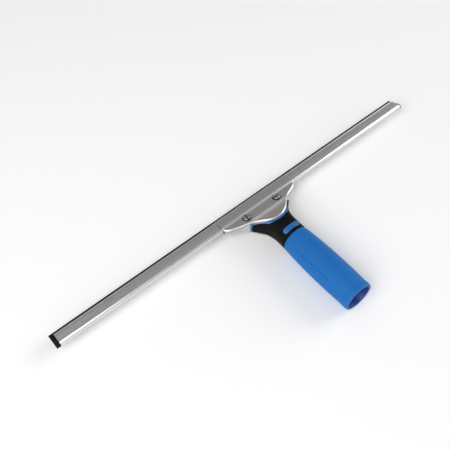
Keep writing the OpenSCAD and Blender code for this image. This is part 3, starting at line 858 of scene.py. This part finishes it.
rivet_dome_r = 4.6
rivet_dome = [(rivet_dome_r * math.sin(a), plate_t + rivet_head_h - rivet_dome_r + rivet_dome_r * math.cos(a))
              for a in [math.asin((rivet_head_r - 0.1) / rivet_dome_r) * k / 10 for k in range(11)]]
rivet_shank = [(0, -rivet_len), (rivet_r - 0.4, -rivet_len), (rivet_r, 0.4 - rivet_len), (rivet_r, plate_t)]
rivet_rim = [(rivet_head_r - 0.1, plate_t), (rivet_head_r, plate_t + 0.08)]
rivet = turned("domed_rivets", rivet_shank + rivet_rim + rivet_dome[::-1], in_mm, 64)
add_nodes(rivet, row_tree("rivet_row"), {"Count": 2, "Pitch": rivet_pitch * MM, "Finish": screw_steel})
settle(rivet)
rivet_v = rear_bend_end[0] - rivet_run * math.cos(rear_slope)
rivet_w = rear_bend_end[1] - rivet_run * math.sin(rear_slope)
rivet.data.transform(jaws @ Matrix.Translation((-rivet_pitch / 2, rivet_v, rivet_w))
                     @ Matrix.Rotation(math.pi + rear_slope, 4, "X") @ to_mm)
keep(rivet, "handle", "screw_steel", "plate_rivets")

# ---- Neck skin ----
# Soft black rubber moulded over the core. It swells from the round collar into two flat shoulders and stops
# short of the front plate, so that a line of the blue core shows round the plate.
grip_len = 86.0
shoulder_r = 26.3
shoulder_top = 7.1
shoulder_low = 9.5
neck_waist = 5.6
skin_t = 1.6
border = 2.4
border_drop = 1.3
shoulder_edge = 1.2
squareness = 2.0
neck_end = reach - shoulder_back
to_jaws = jaws.inverted() @ in_mm


def neck_size(t):
    """Half width, top and bottom of the neck, t from 0 at the grip to 1 at the shoulders."""
    return (blend((neck_r, neck_r - 0.9, neck_r - neck_waist, shoulder_r), t),
            blend((neck_r, neck_r - 0.3, neck_r + 1.3, shoulder_top), t),
            blend((-neck_r, 0.3 - neck_r, -neck_r - 0.9, -shoulder_low), t))


def neck_point(turn, t, inset):
    """A point of the neck's surface, at an angle from +X towards the top, inset below it."""
    width, top, low = neck_size(t)
    power = 2 / (2 + squareness * t)
    c, s = math.cos(turn), math.sin(turn)
    x = (width - inset) * math.copysign(abs(c) ** power, c)
    z = (top + low) / 2 + ((top - low) / 2 - inset) * math.copysign(abs(s) ** power, s)
    return (x, grip_len + (neck_end - grip_len) * t, z)


def grown_plan(depth, grow):
    """Half of a plate's plan, grown outwards, as a closed polygon."""
    line = [(max(p[0] + grow * o[0], 0.0), p[1] + grow * o[1]) for p, o in plate_outline(depth)]
    return [(0, jaw_edge_v)] + line


def within(polygon, x, v):
    """Whether a point lies inside a closed polygon."""
    inside = False
    for (ax, ay), (bx, by) in zip(polygon, polygon[1:] + polygon[:1]):
        if (ay > v) != (by > v) and x < ax + (bx - ax) * (v - ay) / (by - ay):
            inside = not inside
    return inside


border_plan = grown_plan(front_depth, border)
rear_plan = grown_plan(rear_depth, 0.0)


def shows_core(point):
    """Whether a point of the neck lies past the skin's edge."""
    x, v, w = to_jaws @ Vector(point)
    if point[1] > neck_end - shoulder_edge:
        return True
    if w > height_on(front_line, v) - front_rim - border_drop and within(border_plan, abs(x), v):
        return True
    return w < height_on(rear_line, v) and within(rear_plan, abs(x), v)


def skin_end(turn):
    """How far along the neck the skin runs at an angle."""
    steps = 60
    for k in range(1, steps + 1):
        if shows_core(neck_point(turn, k / steps, 0)):
            low, high = (k - 1) / steps, k / steps
            for _ in range(12):
                middle = (low + high) / 2
                low, high = (low, middle) if shows_core(neck_point(turn, middle, 0)) else (middle, high)
            return low
    return 1.0


around = 288
turns = [2 * math.pi * k / around for k in range(around)]
skin_ends = [skin_end(turn) for turn in turns]
skin_rows = 56
neck_rubber = finish("neck_rubber", ((0.004, 0.005, 0.005), (0.008, 0.009, 0.009)), (1.0, 1.0, 1.0), 1300.0,
                     (0.42, 0.58), (0.35, 0.00006), 3.0, gloss=0.05)
skin_start = 0.004
skin_corners = [neck_point(turn, skin_start + (end - skin_start) * k / skin_rows, 0.0)
                for k in range(skin_rows + 1) for turn, end in zip(turns, skin_ends)]
skin = new_piece("neck_overmould", skin_corners, grid_faces(skin_rows + 1, around, True))
cleaned(skin)
# The side that faces away from the neck's axis is the outer one
first_face = skin.data.polygons[0]
if first_face.normal.dot(Vector((first_face.center.x, 0, first_face.center.z))) < 0:
    skin.data.flip_normals()
thicken = skin.modifiers.new("thickness", "SOLIDIFY")
thicken.thickness = (skin_t - 0.05) * MM
thicken.offset = -1
skin.data.materials.append(neck_rubber)
soften(skin, 0.3, 3, 50)
settle(skin)
keep(skin, "handle", "neck_rubber", "neck_skin")

# ---- Head core ----
# Glossy blue moulding that the plates are fastened to. It fills the skin, and shows past the skin's edge.
# Both plates lie in rooms cut in it, and a spigot at its back goes into the handle tube.
core_plastic = finish("core_plastic", ((0.014, 0.115, 0.36), (0.018, 0.135, 0.42)), (1.0, 1.0, 1.0), 500.0,
                      (0.22, 0.36), (0.06, 0.00005))
core_plastic.node_tree.nodes["Principled BSDF"].inputs["Coat Weight"].default_value = 0.25
spigot_r = 10.55
spigot_back = grip_len - 7.0
core_rows = []
for radius, y in ((0.0, spigot_back), (spigot_r - 0.5, spigot_back), (spigot_r, spigot_back + 0.5),
                  (spigot_r, grip_len + 0.05)):
    core_rows.append([(radius * math.cos(turn), y, radius * math.sin(turn)) for turn in turns])
# Under the skin, then up a small step at the skin's edge, then level with the neck to its end
for k in range(41):
    core_rows.append([neck_point(turn, 0.003 + (end - 0.001) * k / 40, skin_t + 0.05)
                      for turn, end in zip(turns, skin_ends)])
for past, limit, inset in ((0.004, 0.99, 0.35), (0.008, 0.992, 0.08)):
    core_rows.append([neck_point(turn, min(end + past, limit), inset) for turn, end in zip(turns, skin_ends)])
border_starts = [min(end + 0.014, 0.994) for end in skin_ends]
for k in range(25):
    core_rows.append([neck_point(turn, start + (1 - start) * k / 24, 0.0)
                      for turn, start in zip(turns, border_starts)])
core_rows.append([neck_point(turn, 1.0, 0.3) for turn in turns])
core_rows.append([(0, neck_end, (shoulder_top - shoulder_low) / 2)] * around)
core_corners = [corner for row in core_rows for corner in row]
core = new_piece("core_moulding", core_corners, grid_faces(len(core_rows), around, True))
cleaned(core)


def prism(name, outline, low, high, along, place):
    """A closed bar in the jaws' frame: along x from (v, w) points, or along w from (x, v) points."""
    count = len(outline)
    if along == "x":
        corners = [(side, v, w) for side in (low, high) for v, w in outline]
    else:
        corners = [(x, v, side) for side in (low, high) for x, v in outline]
    faces = [tuple(range(count)), tuple(range(count, 2 * count))]
    faces += [(k, (k + 1) % count, count + (k + 1) % count, count + k) for k in range(count)]
    return cleaned(new_piece(name, corners, faces, place))


def plan_prism(depth, grow):
    """A tall prism over a plate's whole plan."""
    half = grown_plan(depth, grow)[1:]
    return prism("plan", half + [(-x, v) for x, v in reversed(half[:-1])], -60, 60, "w", jaws)


plate_gap = 0.15
rooms = []
for fall, inner in ((plate_t + plate_gap / 2, None), (front_rim + 2 * plate_gap, -plate_t - plate_gap)):
    base = [(v, w - fall) for v, w in front_line]
    room = prism("room", base + [(-90, base[-1][1]), (-90, 50), (10, 50)], -60, 60, "x", jaws)
    cut_with(room, plan_prism(front_depth, plate_gap), "INTERSECT")
    if inner is not None:
        cut_with(room, plan_prism(front_depth, inner))
    rooms.append(room)
rear_room = prism("room", rear_line + [(-90, -50), (10, -50)], -60, 60, "x", jaws)
cut_with(rear_room, plan_prism(rear_depth, 0.0), "INTERSECT")
rooms.append(rear_room)
for room in rooms:
    cut_with(core, room)
core.data.materials.clear()
core.data.materials.append(core_plastic)
settle(core)
keep(core, "handle", "core_plastic", "head_core")

# ---- Neck inlay ----
# A plain blue bar with round ends, let into the top of the neck and standing a little proud of it.
# It is moulded from hard plastic, and the skin has a room for it.
inlay_len = 19.5
inlay_w = 5.6
inlay_y = grip_len + 6.2
inlay_proud = 0.25
inlay_deep = 0.8
inlay_plastic = finish("inlay_plastic", ((0.014, 0.115, 0.36), (0.018, 0.135, 0.42)), (1.0, 1.0, 1.0), 600.0,
                       (0.26, 0.38), (0.08, 0.00004))


def neck_height(x, y, inset):
    """Height of the neck's top over a point of its plan."""
    t = (y - grip_len) / (neck_end - grip_len)
    width, top, low = neck_size(t)
    power = 2 / (2 + squareness * t)
    c = min(abs(x) / (width - inset), 1.0) ** (1 / power)
    return (top + low) / 2 + ((top - low) / 2 - inset) * math.sqrt(1 - c * c) ** power


bar_half = inlay_len / 2 - inlay_w / 2


def round_bar(name, end_r, top_inset, edge_r):
    """A round-ended bar across the neck, from inside it up to an inset of its surface."""
    stations, lines = 60, 16
    corners = []
    for k in range(stations + 1):
        x = -math.cos(math.pi * k / stations) * (bar_half + end_r - 0.01)
        over = max(abs(x) - bar_half, 0.0)
        half = math.sqrt(end_r ** 2 - over ** 2)
        ring = [(x, inlay_y + y, neck_height(x, inlay_y + y, inlay_deep - 0.06)) for y in (half, -half)]
        for j in range(lines + 1):
            y = -math.cos(math.pi * j / lines) * half
            inside = min(max((end_r - math.hypot(over, y)) / edge_r, 0.0), 1.0)
            rounding = edge_r * (1 - math.sqrt(1 - (1 - inside) ** 2))
            ring.append((x, inlay_y + y, neck_height(x, inlay_y + y, top_inset + rounding)))
        corners += ring
    points = lines + 3
    faces = grid_faces(stations + 1, points, True)
    faces += [tuple(range(points)), tuple(range(stations * points, (stations + 1) * points))]
    return cleaned(new_piece(name, corners, faces))


cut_with(skin, round_bar("inlay_room", inlay_w / 2, -2.0, 0.05))
inlay = round_bar("inlay_bar", inlay_w / 2 - 0.06, -inlay_proud, 0.2)
inlay.data.materials.append(inlay_plastic)
settle(inlay)
keep(inlay, "handle", "inlay_plastic", "neck_inlay")

# ---- Handle tube ----
# Stiff dark blue plastic, moulded, and hidden under the grip but for its open mouth.
# Its bore takes an extension pole: straight first, then tapered.
socket_r = 13.3
socket_len = 32.0
socket_depth = 76.0
socket_end_r = 10.6
tube_wall = 1.1
tube_r = socket_r + tube_wall
tube_step = socket_len + 4
along_handle = in_mm @ Matrix.Rotation(math.radians(-90), 4, "X")
tube_plastic = finish("tube_plastic", ((0.008, 0.045, 0.22), (0.011, 0.055, 0.26)), (1.0, 0.3, 1.0), 700.0,
                      (0.34, 0.5), (0.1, 0.00005))
tube_outside = [(socket_r + 0.35, 0.0), (tube_r - 0.15, 0.0), (tube_r - 0.05, 0.1),
                (tube_r - 0.05, tube_step), (neck_r - skin_t - 0.05, grip_len - 0.15)]
tube_inside = [(socket_end_r + 0.1, grip_len - 0.15), (socket_end_r + 0.05, socket_depth),
               (socket_r, socket_len), (socket_r, 0.35), (socket_r + 0.1, 0.1)]
tube = turned("pole_socket_tube", tube_outside + tube_inside, along_handle, 192)
tube.data.materials.append(tube_plastic)
settle(tube)
keep(tube, "handle", "tube_plastic", "handle_tube")

# ---- Grip sleeve ----
# Soft blue rubber moulded over the handle tube, from its mouth to the neck.
# It has shallow flutes along it and a rolled edge round the mouth.
grip_r = 16.3
mouth_wall = 1.2
grip_end_y = 8.0
flutes = 6
flute_turn = 8.0
flute_start = 26.0
flute_len = 50.0
flute_deep = 0.65
flute_half_w = 1.15


def fluted_tree(name):
    """Geometry Nodes: sinks straight flutes, faded out at both ends, into the turned sleeve it is given."""
    sizes = ("Count", "Turn", "Depth", "Width", "Start", "End", "Fade", "Wall")
    sockets = (("Sleeve", "Geometry"), *((size_name, "Float") for size_name in sizes))
    tree, nodes, links, given = new_tree(name, sockets, "Fluted")

    def sum_of(operation, *values):
        return figure(tree, operation, *values)

    def eased_step(value, low, high):
        node = nodes.new("ShaderNodeMapRange")
        node.interpolation_type = "SMOOTHSTEP"
        links.new(value, node.inputs["Value"])
        links.new(low, node.inputs["From Min"])
        links.new(high, node.inputs["From Max"])
        return node.outputs["Result"]

    place = nodes.new("GeometryNodeInputPosition")
    split = nodes.new("ShaderNodeSeparateXYZ")
    links.new(place.outputs["Position"], split.inputs["Vector"])
    x, y, z = split.outputs["X"], split.outputs["Y"], split.outputs["Z"]
    radius = sum_of("SQRT", sum_of("ADD", sum_of("MULTIPLY", x, x), sum_of("MULTIPLY", z, z)))
    spacing = sum_of("DIVIDE", 2 * math.pi, given["Count"])
    half_space = sum_of("MULTIPLY", spacing, 0.5)
    turned_from = sum_of("SUBTRACT", sum_of("ARCTAN2", x, z), given["Turn"])
    wrapped = sum_of("FLOORED_MODULO", sum_of("ADD", turned_from, half_space), spacing)
    folded = sum_of("SUBTRACT", wrapped, half_space)
    off_line = sum_of("DIVIDE", sum_of("MULTIPLY", folded, radius), given["Width"])
    hollow = sum_of("MAXIMUM", sum_of("SUBTRACT", 1.0, sum_of("MULTIPLY", off_line, off_line)), 0.0)
    rise = eased_step(y, given["Start"], sum_of("ADD", given["Start"], given["Fade"]))
    fall = eased_step(y, sum_of("SUBTRACT", given["End"], given["Fade"]), given["End"])
    along = sum_of("MULTIPLY", rise, sum_of("SUBTRACT", 1.0, fall))
    outside = sum_of("GREATER_THAN", radius, given["Wall"])
    sink = sum_of("MULTIPLY", sum_of("MULTIPLY", sum_of("MULTIPLY", hollow, along), given["Depth"]), outside)
    shrink = sum_of("SUBTRACT", 1.0, sum_of("DIVIDE", sink, radius))
    sunk = nodes.new("ShaderNodeCombineXYZ")
    links.new(sum_of("MULTIPLY", x, shrink), sunk.inputs["X"])
    links.new(y, sunk.inputs["Y"])
    links.new(sum_of("MULTIPLY", z, shrink), sunk.inputs["Z"])
    shift = nodes.new("GeometryNodeSetPosition")
    links.new(given["Sleeve"], shift.inputs["Geometry"])
    links.new(sunk.outputs["Vector"], shift.inputs["Position"])
    return end_tree(tree, given, shift.outputs["Geometry"])


grip_rubber = finish("grip_rubber", ((0.011, 0.135, 0.43), (0.015, 0.158, 0.49)), (1.0, 1.0, 1.0), 1200.0,
                     (0.42, 0.6), (0.4, 0.00006), 3.0, gloss=0.15)
mouth_r = tube_r + mouth_wall
mouth_end = (grip_end_y, grip_r - 0.6)
mouth_curve = cubic((0.35, mouth_r), (2, mouth_r + 0.45), (5, mouth_r + 0.4), mouth_end, 12)
body_curve = cubic(mouth_end, (22, grip_r + 0.3), (60, grip_r + 0.9), (grip_len - 0.1, neck_r), 90)
outer = [(r, y) for y, r in mouth_curve + body_curve[1:]]
sleeve_profile = [(tube_r + 0.05, 0.15), (tube_r + 0.2, 0.0), (mouth_r - 0.35, 0.0), (mouth_r - 0.1, 0.1)]
sleeve_profile += outer[:-1] + [(neck_r - 0.02, grip_len - 0.3), (neck_r - 0.25, grip_len - 0.1)]
sleeve_profile += [(neck_r - skin_t + 0.05, grip_len - 0.1), (tube_r + 0.05, tube_step)]
sleeve = turned("soft_grip", sleeve_profile, along_handle, 384)
add_nodes(sleeve, fluted_tree("grip_flutes"), {
    "Count": float(flutes), "Turn": math.radians(flute_turn), "Depth": flute_deep * MM,
    "Width": flute_half_w * MM, "Start": (flute_start - 1) * MM, "End": (flute_start + flute_len) * MM,
    "Fade": 5 * MM, "Wall": (tube_r + 0.5) * MM, "Finish": grip_rubber})
settle(sleeve, 50)
keep(sleeve, "handle", "grip_rubber", "grip_sleeve")
